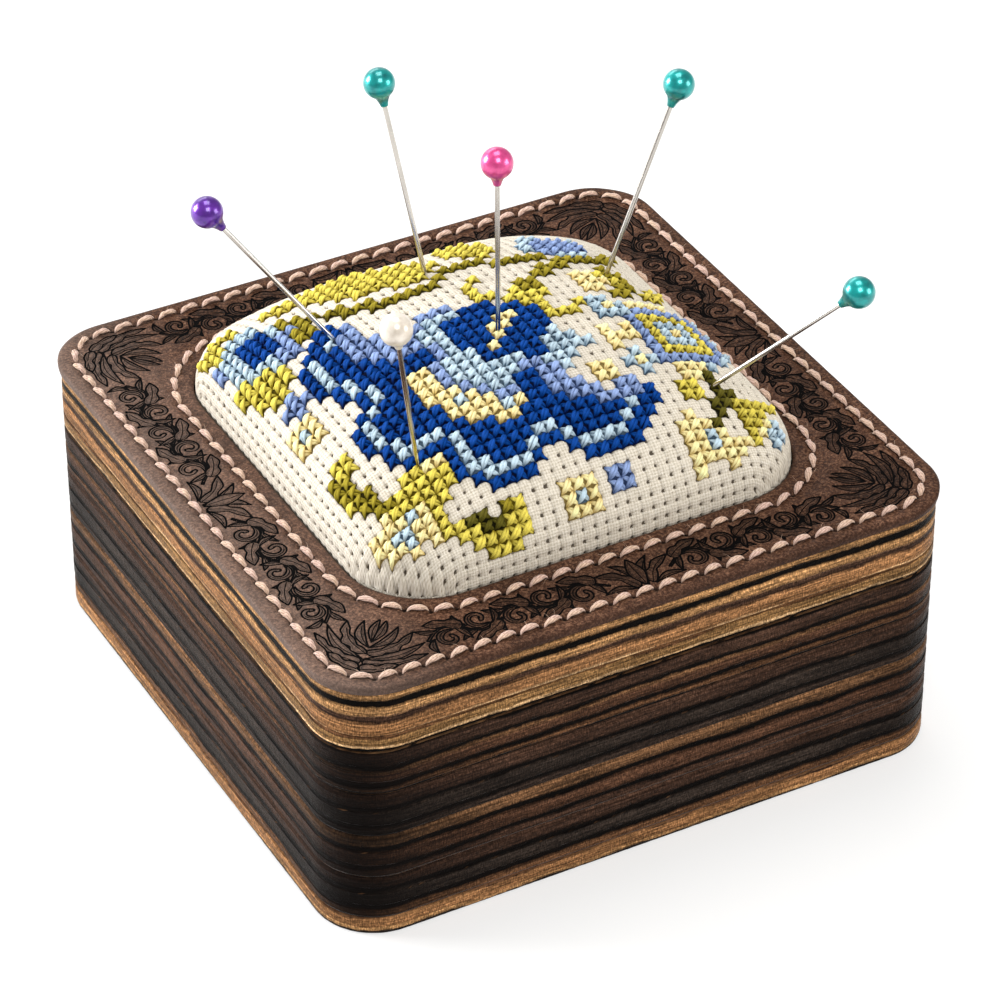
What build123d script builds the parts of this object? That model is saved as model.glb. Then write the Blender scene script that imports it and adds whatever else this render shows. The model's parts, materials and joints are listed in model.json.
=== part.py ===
"""Pin cushion on a square lidded box of stacked plywood, with six ball-head pins.

Millimetres, +Z up. The origin is the centre of the underside, and the sides lie along X and Y.
"""

from build123d import *
import math
import os

os.makedirs("parts", exist_ok=True)

# Plan of the stack
wood_side = 83.4
wood_corner = 7.9
edge_ease = 0.3
wall = 6.0
compartment_corner = 3.0

# Sheet and board thicknesses
board_t = 2.4
sheet_t = 6.2
lid_board_t = 2.3
locator_t = 2.3
frame_count = 4

# Lid locator, which drops inside the box walls
locator_gap = 0.3

# Leather ring
leather_side = 84.0
leather_corner = 8.2
leather_t = 1.1
leather_opening = 59.6
leather_opening_corner = 10.5

# Stitches along the leather ring
stitch_pitch = 3.05
stitch_length = 2.5
thread_width = 0.85
thread_rise = 0.35
outer_stitch_inset = 2.2
inner_stitch_inset = 2.4

# Cushion
cushion_side = 59.2
cushion_corner = 10.3
cloth_t = 0.6
cloth_gap = 0.05
dome_height = 14.8
crown_power = 2.2
card_t = 1.5
turned_hem = 8.0
floss_t = 0.4
floss_gap = 0.02

# Levels of the dome's sections, as shares of its height
dome_levels = [0.0, 0.35, 0.6, 0.8, 0.92, 0.98]

# Pins
pin_length = 38.0
shaft_r = 0.3
point_length = 2.5
head_r = 1.95
neck_length = 1.1
neck_r = 0.5
neck_meets_ball = 35.0
head_bore_depth = 1.0
pin_clearance = 0.05
tip_room = 0.3
bore_overrun = 4.0

# Each pin: where it enters the cloth, its lean from upright, the compass side that it
# leans to, counted from +X, and how far the middle of its head stands out
pins = {
    "purple": {"x": -17.0, "y": 7.7, "lean": 37.4, "toward": 158.0, "out": 24.3},
    "teal_back": {"x": -1.5, "y": 13.9, "lean": 14.0, "toward": 119.5, "out": 26.0},
    "pink": {"x": -0.9, "y": -3.8, "lean": 2.2, "toward": 235.0, "out": 24.5},
    "white": {"x": -18.8, "y": -17.0, "lean": 16.5, "toward": 224.3, "out": 24.0},
    "teal_right": {"x": 19.1, "y": 5.4, "lean": 20.4, "toward": -5.3, "out": 27.0},
    "teal_front": {"x": 20.5, "y": -18.3, "lean": 46.1, "toward": -45.2, "out": 24.0},
}

# Heights that follow from the stack
box_top = board_t + frame_count * sheet_t
lid_board_top = box_top + lid_board_t
wood_top = lid_board_top + sheet_t
leather_top = wood_top + leather_t
card_bottom = lid_board_top + cloth_t
card_top = card_bottom + card_t

# Widths that follow
compartment_side = wood_side - 2 * wall
cushion_room = cushion_side + 1.0
inner_side = cushion_side - 2 * cloth_t
inner_corner = cushion_corner - cloth_t


def save(made, name):
    """Labels a finished piece and writes it to its own file."""
    made.part.label = name
    export_step(made.part, f"parts/{name}.step")


def plate(width, corner, thickness, level):
    """A square board with rounded corners and eased outer edges."""
    with BuildPart() as made:
        with BuildSketch(Plane.XY.offset(level)):
            RectangleRounded(width, width, corner)
        extrude(amount=thickness)
        rims = made.faces().filter_by(Axis.Z).edges()
        chamfer(rims, length=edge_ease)
    return made


def ring(width, corner, opening, opening_corner, thickness, level, ease):
    """A square frame cut from one sheet, with its outer edges eased."""
    with BuildPart() as made:
        with BuildSketch(Plane.XY.offset(level)):
            RectangleRounded(width, width, corner)
            RectangleRounded(opening, opening, opening_corner, mode=Mode.SUBTRACT)
        extrude(amount=thickness)
        rims = [face.outer_wire().edges() for face in made.faces().filter_by(Axis.Z)]
        chamfer(rims[0] + rims[1], length=ease)
    return made


def dome(width, corner, height, floor):
    """A pillow shape: an upright skirt from floor, and a crown above the leather's top.

    Each level of the crown is a rounded square. Its half-width follows a flattened ellipse,
    and its diagonal shrinks faster, so the corners turn round towards the top.
    """
    half = width / 2
    diagonal_share = 1 - math.sqrt(0.5)
    with BuildPart() as made:
        with BuildSketch(Plane.XY.offset(floor)):
            RectangleRounded(width, width, corner)
        extrude(amount=leather_top - floor)
        for level in dome_levels:
            across = half * (1 - level**2) ** (1 / crown_power)
            along_diagonal = half * (1 - level) ** (1 / crown_power)
            rounding = max(corner, (across - along_diagonal) / diagonal_share)
            with BuildSketch(Plane.XY.offset(leather_top + level * height)):
                RectangleRounded(2 * across, 2 * across, min(rounding, 0.98 * across))
        loft()
    return made


def crown_height(x, y):
    """The height of the cushion's outer surface above the leather, at a point in plan."""
    across = 1 - abs(2 * x / cushion_side) ** crown_power
    along = 1 - abs(2 * y / cushion_side) ** crown_power
    return dome_height * math.sqrt(across * along)


def pin_frame(pin):
    """A plane at the pin's entry, with its normal along the pin, towards the head."""
    lean = math.radians(pin["lean"])
    toward = math.radians(pin["toward"])
    entry = (pin["x"], pin["y"], leather_top + crown_height(pin["x"], pin["y"]))
    outward = (
        math.sin(lean) * math.cos(toward),
        math.sin(lean) * math.sin(toward),
        math.cos(lean),
    )
    return Plane(origin=entry, z_dir=outward)


def section_plane(frame):
    """The plane that holds a pin's axis as its Y, for half sections to revolve."""
    return Plane(origin=frame.origin, x_dir=frame.x_dir, z_dir=-frame.y_dir)


def pin_bores():
    """A cylinder for each pin's way through the cloth and stuffing, past its tip."""
    with BuildPart() as made:
        for pin in pins.values():
            buried = pin_length - pin["out"] + tip_room
            with BuildSketch(pin_frame(pin).offset(-buried)):
                Circle(shaft_r + pin_clearance)
            extrude(amount=buried + bore_overrun)
    return made


# Box body: a thin floor and four frames of five-ply sheet, glued in a stack
save(plate(wood_side, wood_corner, board_t, 0.0), "base_board")

for index in range(frame_count):
    frame_level = board_t + index * sheet_t
    box_frame = ring(
        wood_side, wood_corner, compartment_side, compartment_corner, sheet_t, frame_level, edge_ease
    )
    save(box_frame, f"box_frame_{index + 1}")

# Lid: a locator that drops inside the walls, a thin board, and a frame round the cushion
locator_side = compartment_side - 2 * locator_gap
save(plate(locator_side, compartment_corner, locator_t, box_top - locator_t), "lid_locator")
save(plate(wood_side, wood_corner, lid_board_t, box_top), "lid_board")
lid_frame = ring(
    wood_side, wood_corner, cushion_room, cushion_corner, sheet_t, lid_board_top, edge_ease
)
save(lid_frame, "lid_frame")

# Leather ring on the lid frame
leather_ring = ring(
    leather_side,
    leather_corner,
    leather_opening,
    leather_opening_corner,
    leather_t,
    wood_top,
    edge_ease,
)
save(leather_ring, "leather_ring")


def stitch_places(half_width, corner):
    """Evenly spaced places round a rounded square on the leather, turned along it."""
    course = RectangleRounded(2 * half_width, 2 * half_width, corner).wire()
    count = round(course.length / stitch_pitch)
    places = []
    for number in range(count):
        share = (number + 0.5) / count
        point = course.position_at(share)
        heading = course.tangent_at(share)
        turn = math.degrees(math.atan2(heading.Y, heading.X))
        places.append(Location((point.X, point.Y, 0), (0, 0, turn)))
    return places


def stitches(places):
    """One short round-ended thread at each place, lying on the leather."""
    with BuildPart() as made:
        with BuildSketch(Plane.XY.offset(leather_top)):
            with Locations(*places):
                SlotOverall(stitch_length, thread_width)
        extrude(amount=thread_rise)
    return made


outer_half = leather_side / 2 - outer_stitch_inset
outer_course = stitch_places(outer_half, leather_corner - outer_stitch_inset)
save(stitches(outer_course), "outer_stitches")

inner_half = leather_opening / 2 + inner_stitch_inset
inner_course = stitch_places(inner_half, leather_opening_corner + inner_stitch_inset)
save(stitches(inner_course), "inner_stitches")

# Backing card, which the cloth is turned under
with BuildPart() as backing_card:
    with BuildSketch(Plane.XY.offset(card_bottom)):
        RectangleRounded(inner_side - 2 * cloth_gap, inner_side - 2 * cloth_gap, inner_corner)
    extrude(amount=card_t)
save(backing_card, "backing_card")

# Stuffing, with a bore for each pin
bores = pin_bores()
stuffing_block = dome(
    inner_side - 2 * cloth_gap, inner_corner, dome_height - cloth_t - cloth_gap, card_top
)
with BuildPart() as stuffing:
    add(stuffing_block)
    add(bores, mode=Mode.SUBTRACT)
save(stuffing, "stuffing")

# Embroidered cloth over the stuffing, with its hem turned under the card
cloth_outside = dome(cushion_side, cushion_corner, dome_height, lid_board_top)
cloth_inside = dome(inner_side, inner_corner, dome_height - cloth_t, card_bottom)
hem_opening = inner_side - 2 * turned_hem
with BuildPart() as aida_cover:
    add(cloth_outside)
    add(cloth_inside, mode=Mode.SUBTRACT)
    with BuildSketch(Plane.XY.offset(lid_board_top)):
        RectangleRounded(hem_opening, hem_opening, inner_corner)
    extrude(amount=cloth_t, mode=Mode.SUBTRACT)
    add(bores, mode=Mode.SUBTRACT)
save(aida_cover, "aida_cover")

# Floss of the cross-stitch, as thin patches on the cloth: one large flower and corner sprays
floss_side = cushion_side + 2 * floss_t
floss_outside = dome(floss_side, cushion_corner + floss_t, dome_height + floss_t, wood_top)
clear_side = cushion_side + 2 * floss_gap
cloth_clear = dome(clear_side, cushion_corner + floss_gap, dome_height + floss_gap, lid_board_top)
flower_radii = (15.0, 12.5)
spray_radii = (6.0, 3.5)
spray_reach = 19.0
with BuildPart() as embroidery:
    add(floss_outside)
    add(cloth_clear, mode=Mode.SUBTRACT)
    with BuildSketch(Plane.XY.offset(leather_top)):
        Ellipse(*flower_radii)
        with PolarLocations(spray_reach * math.sqrt(2), 4, start_angle=45):
            Ellipse(*spray_radii, rotation=90)
    extrude(amount=2 * dome_height, mode=Mode.INTERSECT)
    add(bores, mode=Mode.SUBTRACT)
save(embroidery, "embroidery")

# Pins: a pointed steel shaft and a ball head with a tapered neck, each pin on its own axis
for pin_name, pin in pins.items():
    frame = pin_frame(pin)
    pin_axis = Axis(frame.origin, frame.z_dir)
    tip = pin["out"] - pin_length
    shaft_end = pin["out"] + head_bore_depth
    with BuildPart() as shaft:
        with BuildSketch(section_plane(frame)):
            with BuildLine():
                Polyline(
                    (0, tip),
                    (shaft_r, tip + point_length),
                    (shaft_r, shaft_end),
                    (0, shaft_end),
                    close=True,
                )
            make_face()
        revolve(axis=pin_axis)
    save(shaft, f"pin_shaft_{pin_name}")

    neck_start = pin["out"] - head_r - neck_length
    meet = math.radians(neck_meets_ball)
    ball_start = (head_r * math.sin(meet), pin["out"] - head_r * math.cos(meet))
    with BuildPart() as head:
        with BuildSketch(section_plane(frame)):
            with BuildLine():
                Line((shaft_r, neck_start), (neck_r, neck_start))
                Line((neck_r, neck_start), ball_start)
                ThreePointArc(ball_start, (head_r, pin["out"]), (0, pin["out"] + head_r))
                Line((0, pin["out"] + head_r), (0, shaft_end))
                Line((0, shaft_end), (shaft_r, shaft_end))
                Line((shaft_r, shaft_end), (shaft_r, neck_start))
            make_face()
        revolve(axis=pin_axis)
    save(head, f"pin_head_{pin_name}")
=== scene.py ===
import json
import math

import bpy
import numpy as np
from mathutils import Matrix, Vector
from mathutils.kdtree import KDTree


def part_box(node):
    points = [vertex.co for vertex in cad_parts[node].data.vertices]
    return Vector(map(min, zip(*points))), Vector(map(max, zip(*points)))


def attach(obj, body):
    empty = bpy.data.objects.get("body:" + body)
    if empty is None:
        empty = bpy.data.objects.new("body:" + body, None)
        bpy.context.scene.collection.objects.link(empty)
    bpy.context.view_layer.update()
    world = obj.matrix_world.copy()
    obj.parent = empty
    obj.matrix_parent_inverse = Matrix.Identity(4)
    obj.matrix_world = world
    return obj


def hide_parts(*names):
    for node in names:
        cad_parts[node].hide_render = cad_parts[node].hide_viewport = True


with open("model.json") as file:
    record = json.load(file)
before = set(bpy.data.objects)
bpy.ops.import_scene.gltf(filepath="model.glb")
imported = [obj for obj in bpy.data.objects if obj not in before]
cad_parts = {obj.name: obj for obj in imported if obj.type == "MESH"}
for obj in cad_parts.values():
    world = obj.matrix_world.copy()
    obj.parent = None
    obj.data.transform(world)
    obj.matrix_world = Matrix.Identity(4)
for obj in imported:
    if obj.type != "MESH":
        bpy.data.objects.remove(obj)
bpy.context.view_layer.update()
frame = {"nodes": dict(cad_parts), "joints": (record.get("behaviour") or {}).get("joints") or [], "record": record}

MM = 0.001
FULL_TURN = 2 * math.pi


# ---------- places taken from the frame

def span(node):
    """A CAD node's lowest and highest corners, in millimetres."""
    low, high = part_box(node)
    return np.array(low) / MM, np.array(high) / MM


leather_low, leather_high = span("leather_ring")
cloth_low, cloth_high = span("aida_cover")
LEATHER_HALF, LEATHER_TOP, LEATHER_BOTTOM = leather_high[0], leather_high[2], leather_low[2]
CLOTH_HALF, CLOTH_BOTTOM = cloth_high[0], cloth_low[2]
WOOD_HALF = span("lid_frame")[1][0]

LEATHER_CORNER = 8.2
WOOD_CORNER = 7.9
OPENING_HALF = 29.8
OPENING_CORNER = 10.5
CUSHION_ROOM_HALF = 30.1
CUSHION_CORNER = 10.3
WALL = 6.0
COMPARTMENT_CORNER = 3.0

# The crown's rounded-square levels stop at this share of its height in the CAD
TOP_LEVEL = 0.98
CROWN_POWER = 2.2
CROWN_RISE = (cloth_high[2] - LEATHER_TOP) / TOP_LEVEL


# ---------- mesh helpers

def build_mesh(name, points, quads, triangles=()):
    """A mesh from arrays of points in millimetres, quads and triangles."""
    mesh = bpy.data.meshes.new(name)
    points = np.asarray(points, float).reshape(-1, 3) * MM
    quads = np.asarray(quads, int).reshape(-1, 4)
    triangles = np.asarray(triangles, int).reshape(-1, 3)
    mesh.vertices.add(len(points))
    mesh.vertices.foreach_set("co", points.astype(np.float32).ravel())
    corners = np.concatenate([quads.ravel(), triangles.ravel()])
    starts = np.append(np.arange(len(quads)) * 4, len(quads) * 4 + np.arange(len(triangles)) * 3)
    mesh.loops.add(len(corners))
    mesh.loops.foreach_set("vertex_index", corners.astype(np.int32))
    mesh.polygons.add(len(starts))
    mesh.polygons.foreach_set("loop_start", starts.astype(np.int32))
    mesh.update(calc_edges=True)
    mesh.validate()
    return mesh


def add_values(mesh, **layers):
    """Stores numbers or vectors at the points, for the material to read."""
    for name, values in layers.items():
        values = np.asarray(values, np.float32)
        kind, key = ("FLOAT", "value") if values.ndim == 1 else ("FLOAT_VECTOR", "vector")
        mesh.attributes.new(name, kind, "POINT").data.foreach_set(key, values.ravel())


def link(name, data):
    obj = bpy.data.objects.new(name, data)
    bpy.context.scene.collection.objects.link(obj)
    return obj


def surface(name, mesh, material, smooth=True):
    """Puts a mesh in the scene with its material."""
    mesh.materials.append(material)
    mesh.polygons.foreach_set("use_smooth", [smooth] * len(mesh.polygons))
    return link(name, mesh)


def piece(name, mesh, material, body, node, smooth=True):
    """A mesh as one piece that rides on a body and stands for a CAD node."""
    obj = surface(name, mesh, material, smooth)
    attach(obj, body)
    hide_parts(node)
    return obj


# ---------- material helpers

def linear(red, green, blue):
    """An 8-bit display colour as linear light."""
    share = np.array([red, green, blue]) / 255
    return np.where(share <= 0.04045, share / 12.92, ((share + 0.055) / 1.055) ** 2.4)


def rgba(colour):
    """A socket's colour from a grey, an 8-bit display colour as a tuple, or linear light."""
    if np.isscalar(colour):
        return (colour, colour, colour, 1)
    return (*(linear(*colour) if isinstance(colour, tuple) else colour), 1)


class Nodes:
    """A short way to write a material's node tree."""

    def __init__(self, name):
        self.material = bpy.data.materials.new(name)
        self.material.use_nodes = True
        self.tree = self.material.node_tree
        self.shader = self.tree.nodes["Principled BSDF"]

    def put(self, socket, value):
        if isinstance(value, bpy.types.NodeSocket):
            self.tree.links.new(value, socket)
        else:
            socket.default_value = rgba(value) if socket.type == "RGBA" else value

    def add(self, kind, *values, **settings):
        """A node with its settings, and values for its first sockets."""
        node = self.tree.nodes.new("ShaderNode" + kind)
        for key, value in settings.items():
            setattr(node, key, value)
        for socket, value in zip(node.inputs, values):
            self.put(socket, value)
        return node

    def fill(self, node, sockets):
        for key, value in sockets.items():
            self.put(node.inputs[key], value)

    def read(self, attribute, output="Fac"):
        return self.add("Attribute", attribute_name=attribute).outputs[output]

    def place(self):
        return self.add("TexCoord").outputs["Object"]

    def parts(self, vector):
        return self.add("SeparateXYZ", vector).outputs

    def math(self, operation, *values):
        return self.add("Math", *values, operation=operation).outputs[0]

    def plus(self, first, second):
        return self.math("ADD", first, second)

    def times(self, first, second):
        return self.math("MULTIPLY", first, second)

    def larger(self, first, second):
        return self.math("MAXIMUM", first, second)

    def line(self, value, slope, offset):
        return self.math("MULTIPLY_ADD", value, slope, offset)

    def share(self, value):
        """The value, kept between 0 and 1."""
        return self.math("MINIMUM", self.larger(value, 0.0), 1.0)

    def noise(self, vector, scale, detail=3, roughness=0.5, distortion=0.0, output="Fac"):
        """Noise at one scale, or at a scale for each axis."""
        if not np.isscalar(scale):
            mapping = self.add("Mapping", vector)
            mapping.inputs["Scale"].default_value = scale
            vector, scale = mapping.outputs[0], 1.0
        node = self.add("TexNoise", vector)
        sockets = {"Scale": scale, "Detail": detail, "Roughness": roughness, "Distortion": distortion}
        self.fill(node, sockets)
        return node.outputs[output]

    def ramp(self, factor, stops):
        """A colour ramp; each stop is a place and a grey or a colour."""
        node = self.add("ValToRGB", factor)
        elements = node.color_ramp.elements
        while len(elements) < len(stops):
            elements.new(0.5)
        for element, (place, colour) in zip(elements, stops):
            element.position = place
            element.color = rgba(colour)
        return node.outputs["Color"]

    def mix(self, factor, first, second, blend="MIX"):
        node = self.add("Mix", factor, data_type="RGBA", blend_type=blend)
        self.fill(node, {6: first, 7: second})
        return node.outputs[2]

    def tinted(self, colour, tint):
        return self.mix(1.0, colour, tint, "MULTIPLY")

    def bump(self, height, distance, strength=0.8):
        node = self.add("Bump")
        self.fill(node, {"Strength": strength, "Distance": distance, "Height": height})
        return node.outputs[0]

    def finish(self, colour, roughness, normal=None, **plain):
        """Joins the results to the shader; plain values go on its own sockets."""
        self.fill(self.shader, {"Base Color": colour, "Roughness": roughness})
        if normal is not None:
            self.put(self.shader.inputs["Normal"], normal)
        for key, value in plain.items():
            self.shader.inputs[key.replace("_", " ")].default_value = value
        return self.material


# ---------- outlines and swept rings

def quarter_turn(index):
    """The matrix that turns rows of plan points by a number of quarter turns."""
    c, s = round(math.cos(index * math.pi / 2)), round(math.sin(index * math.pi / 2))
    return np.array([[c, s], [-s, c]])


def rounded_outline(half, corner, straight_steps, arc_steps):
    """Points round a square with rounded corners, anticlockwise from the +X side."""
    run = half - corner
    side = np.linspace(-run, run, straight_steps, endpoint=False)
    turn = np.linspace(0, math.pi / 2, arc_steps, endpoint=False)
    x = np.append(np.full(straight_steps, half), run + corner * np.cos(turn))
    y = np.append(side, run + corner * np.sin(turn))
    quarter = np.stack([x, y], 1)
    return np.concatenate([quarter @ quarter_turn(index) for index in range(4)])


def at_height(outline, height):
    return np.column_stack([outline, np.full(len(outline), height)])


def circle_angles(steps):
    return np.linspace(0, FULL_TURN, steps, endpoint=False)


def unit(vectors):
    return vectors / np.linalg.norm(vectors, axis=1)[:, None]


def left_of(directions):
    return np.stack([-directions[:, 1], directions[:, 0]], 1)


def running_length(points):
    """The distance along a closed line of points, at each point."""
    steps = np.linalg.norm(np.roll(points, -1, 0) - points, axis=1)
    return np.append(0, np.cumsum(steps)[:-1]), steps.sum()


def ring_quads(rows, columns, close_rows):
    """Quads between rows of points that each close on themselves."""
    row = np.arange(rows if close_rows else rows - 1)
    r, c = np.meshgrid(row, np.arange(columns), indexing="ij")
    r2, c2 = (r + 1) % rows, (c + 1) % columns
    corners = [r * columns + c, r * columns + c2, r2 * columns + c2, r2 * columns + c]
    return np.stack(corners, -1).reshape(-1, 4)


def capped_faces(rows, around):
    """Quads and end fans for closed rows of points, followed by one point for each end."""
    first = np.arange(around)
    following = (first + 1) % around
    centre, last = rows * around, (rows - 1) * around
    start = np.stack([np.full(around, centre), following, first], -1)
    finish = np.stack([np.full(around, centre + 1), last + first, last + following], -1)
    return ring_quads(rows, around, False), np.concatenate([start, finish])


def repeat_faces(faces, copies, stride):
    """The same faces for each of several copies of the points."""
    return (faces[None] + (np.arange(copies) * stride)[:, None, None]).reshape(-1, faces.shape[1])


# ---------- wood

# Colours of the plies as they show on the sawn sides; pale is a painted highlight at the sheets' lower edges
TONES = {
    "gold": (175, 131, 86), "pale": (200, 162, 118), "tan": (152, 108, 70), "olive": (138, 103, 64),
    "brown": (96, 66, 44), "ochre": (112, 80, 54), "rust": (84, 57, 41), "umber": (67, 47, 36),
    "smoke": (55, 43, 36), "slate": (51, 42, 36), "dark": (32, 23, 17), "black": (10, 6, 4),
}
# Each sheet from its top down: the percent of its thickness, the tone, and how far the ply
# stands back from the face in hundredths of a millimetre
PLIES = {
    # lid_frame's pale ply at its foot is a painted highlight on the eased edge
    "lid_frame": "16 gold 0, 19 black 10, 17 gold 2, 15 umber 8, 29 tan 0, 4 pale 0",
    # lid_board's pale ply is a painted highlight along the seam, and its black ply at the foot a painted shadow in
    # the gap above the box
    "lid_board": "12 brown 3, 50 olive 0, 14 pale 0, 24 black 12",
    "box_frame_4": "5 black 6, 28 umber 0, 12 black 12, 4 ochre 3, 20 rust 0, 13 black 10, "
                   "10 brown 2, 8 black 8",
    "box_frame_3": "31 umber 0, 12 black 12, 29 slate 0, 11 black 10, 12 smoke 3, 5 black 7",
    "box_frame_2": "24 ochre 0, 15 black 12, 30 rust 0, 13 black 10, 18 umber 2",
    "box_frame_1": "24 umber 0, 15 black 12, 27 slate 0, 14 black 10, 20 brown 3",
    "base_board": "5 umber 5, 56 tan 0, 18 gold 0, 21 dark 6",
}
# How much darker each ply is at its lower edge, and how soft its edges are
LOWER_EDGE = 0.66
PLY_SOFTNESS, MOST_SOFTNESS = 0.36, 0.035
STRAIGHT_STEPS, ARC_STEPS = 190, 26
# How far in from a sheet's upper and lower edges its wall is eased, in millimetres
EASE = 0.28
# The ripples in a ply's edge: how many go round the box, and their shares
RIPPLE = 0.03
RIPPLES = [(63, 0.5), (101, 0.5), (157, 0.4)]
# Where the rows of a closed board's flat faces lie, as shares of its half side
FACE_SHARES = (0.02, 0.5, 0.9, 0.985)
# How dark the box is at each corner, as the signs of X and Y: cutter scorch at every corner, with painted shade
# added at the front-left corner (-1, -1)
CORNER_SCORCH_AND_SHADE = {(-1, -1): 0.92, (1, -1): 0.35, (1, 1): 0.5, (-1, 1): 0.55}
CORNER_DARK_REACH = 13.0


def read_plies(node):
    """Each ply's share of the thickness, its tone as linear light, and how far it stands back."""
    words = [ply.split() for ply in PLIES[node].split(", ")]
    return [(int(percent) / 100, linear(*TONES[tone]), int(back) / 100) for percent, tone, back in words]


def wall_rows(node, low, high):
    """The outer wall's rows from top to bottom: height and how far each stands back."""
    rows, level = [], high
    for share, _, back in read_plies(node):
        bottom = level - share * (high - low)
        inset = min(0.05, 0.2 * (level - bottom))
        rows += [[place, back] for place in np.linspace(level - inset, bottom + inset, 4)]
        level = bottom
    rows[0][0], rows[-1][0] = high, low
    for row in rows:
        edge = min(high - row[0], row[0] - low)
        row[1] += EASE * max(0.0, 1 - edge / EASE) ** 2
    return rows


def ripple(along, total, seed):
    """A gentle wave along a closed line, with no jump where it closes."""
    local = np.random.default_rng(seed)
    wave = sum(
        size * np.sin(FULL_TURN * turns * along / total + local.uniform(0, 6.28))
        for turns, size in RIPPLES
    )
    return np.abs(RIPPLE * wave)


def scorch(points):
    """The share of darkening at each point, cutter scorch with painted shade: strongest at the corners of the box.
    """
    made = np.zeros(len(points))
    for corner, strength in CORNER_SCORCH_AND_SHADE.items():
        away = np.linalg.norm(points[:, :2] - np.array(corner) * (WOOD_HALF - 1.5), axis=1)
        made = np.maximum(made, strength * np.exp(-((away / CORNER_DARK_REACH) ** 2)))
    return made


def wood_ring(node, body, inner_half=None, inner_corner=None):
    """One sheet of the stack: its outer wall in plies, and its opening if it has one."""
    low, high = span(node)
    half, bottom, top = high[0], low[2], high[2]

    def outline(size, corner):
        return rounded_outline(size, corner, STRAIGHT_STEPS, ARC_STEPS)

    def face(height):
        return [at_height(outline(half * share, WOOD_CORNER * share), height) for share in FACE_SHARES]

    along, total = running_length(outline(half, WOOD_CORNER))
    seed = sum(ord(letter) for letter in node) * 7
    wall = []
    for index, (height, back) in enumerate(wall_rows(node, bottom, top)):
        plain = outline(half - back, WOOD_CORNER - back)
        rough = plain - unit(plain) * ripple(along, total, seed + index)[:, None]
        wall.append(at_height(rough, height))
    if inner_half is None:
        rows = [*face(top), *wall, *face(bottom)[::-1]]
        quads, triangles = capped_faces(len(rows), len(along))
        rows.append(np.array([[0, 0, top], [0, 0, bottom]]))
    else:
        inside = outline(inner_half, inner_corner)
        rows = wall + [at_height(inside, row[0, 2]) for row in wall[::-1]]
        quads, triangles = ring_quads(len(rows), len(along), True), np.zeros((0, 3))
    points = np.concatenate(rows)
    mesh = build_mesh(node + "_ply", points, quads[:, ::-1], triangles[:, ::-1])
    wrap = np.column_stack([np.resize(along, len(points)), points[:, 2], np.zeros(len(points))])
    add_values(mesh, scorch=scorch(points) * node.startswith("box_frame"), wrap=wrap)
    piece(node + "_ply", mesh, plywood(node, bottom, top), body, node, smooth=False)


def veneer_figure(n):
    """The long figure of planed face veneer."""
    return n.noise(n.place(), (60, 900, 60), 5, 0.6, 0.4)


def plywood(node, low, high):
    """Sawn plywood: plies in their tones, with ragged edges, streaks and end grain; the pale plies are painted
    highlights, the lid board's lowest black ply a painted shadow, and the corners are darkened by cutter scorch
    with painted shade.
    """
    n = Nodes(node + "_wood")
    wrap = n.read("wrap", "Vector")
    drift = n.noise(wrap, (0.09, 0.25, 1), 3, 0.5)
    ragged = n.noise(wrap, (1.1, 2.2, 1), 4, 0.7)
    fibres = n.noise(wrap, (0.9, 9.0, 1), 4, 0.75)
    ticks = n.noise(wrap, (5.5, 1.6, 1), 3, 0.7)
    patches = n.noise(wrap, (0.05, 0.5, 1), 3, 0.6)
    streaks = n.noise(wrap, (0.12, 3.6, 1), 3, 0.6)
    shift = n.plus(n.line(drift, 1.5, -0.75), n.line(ragged, 0.55, -0.275))
    shift = n.plus(shift, n.line(fibres, 0.3, -0.15))
    height = n.plus(n.parts(wrap)[1], shift)
    place = n.line(height, 1 / (high - low), -low / (high - low))
    stops, level = [], 1.0
    for share, tone, _ in read_plies(node):
        soft = min(MOST_SOFTNESS, PLY_SOFTNESS * share)
        stops += [(level - soft, tone), (level - share + soft, tone * LOWER_EDGE)]
        level -= share
    grain = n.plus(n.times(fibres, 0.5), n.times(ticks, 0.5))
    colour = n.ramp(place, stops[::-1])
    colour = n.tinted(colour, n.ramp(grain, [(0.38, 0.18), (0.48, 0.66), (0.54, 1.14), (0.63, 2.4)]))
    colour = n.tinted(colour, n.ramp(streaks, [(0.36, 0.45), (0.5, 0.95), (0.66, 1.45)]))
    colour = n.tinted(colour, n.ramp(patches, [(0.3, 0.62), (0.7, 1.4)]))
    # the corners darken to near black: cutter scorch, with painted shade at the front-left corner
    colour = n.mix(n.read("scorch"), colour, (9, 6, 5))
    # a sheet's flat faces show its face veneer
    tilt = n.parts(n.add("NewGeometry").outputs["Normal"])[2]
    flat = n.ramp(n.math("ABSOLUTE", tilt), [(0.80, 0.0), (0.97, 1.0)])
    figure = veneer_figure(n)
    veneer = n.ramp(figure, [(0.3, (84, 56, 36)), (0.5, (122, 86, 56)), (0.7, (150, 112, 76))])
    return n.finish(
        n.mix(flat, colour, veneer),
        n.line(ticks, 0.3, 0.42),
        n.bump(n.mix(flat, grain, figure), 0.00012, 0.9),
        Specular_IOR_Level=0.03, Sheen_Weight=0.16, Sheen_Roughness=0.25,
    )


def plain_board():
    """Planed face veneer for the locator under the lid."""
    n = Nodes("veneer")
    fine = n.noise(n.place(), (300, 4000, 300), 3, 0.6)
    both = n.plus(n.times(veneer_figure(n), 0.7), n.times(fine, 0.3))
    colour = n.ramp(both, [(0.3, (118, 84, 52)), (0.5, (158, 121, 80)), (0.7, (186, 150, 106))])
    return n.finish(colour, 0.55, n.bump(both, 0.00008))


def greyboard():
    """Grey backing card with pressed fibres."""
    n = Nodes("greyboard")
    fibres = n.noise(n.place(), (900, 2600, 900), 5, 0.7, 0.6)
    colour = n.ramp(fibres, [(0.3, (150, 147, 138)), (0.7, (190, 186, 176))])
    return n.finish(colour, 0.85, n.bump(fibres, 0.00006))


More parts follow.
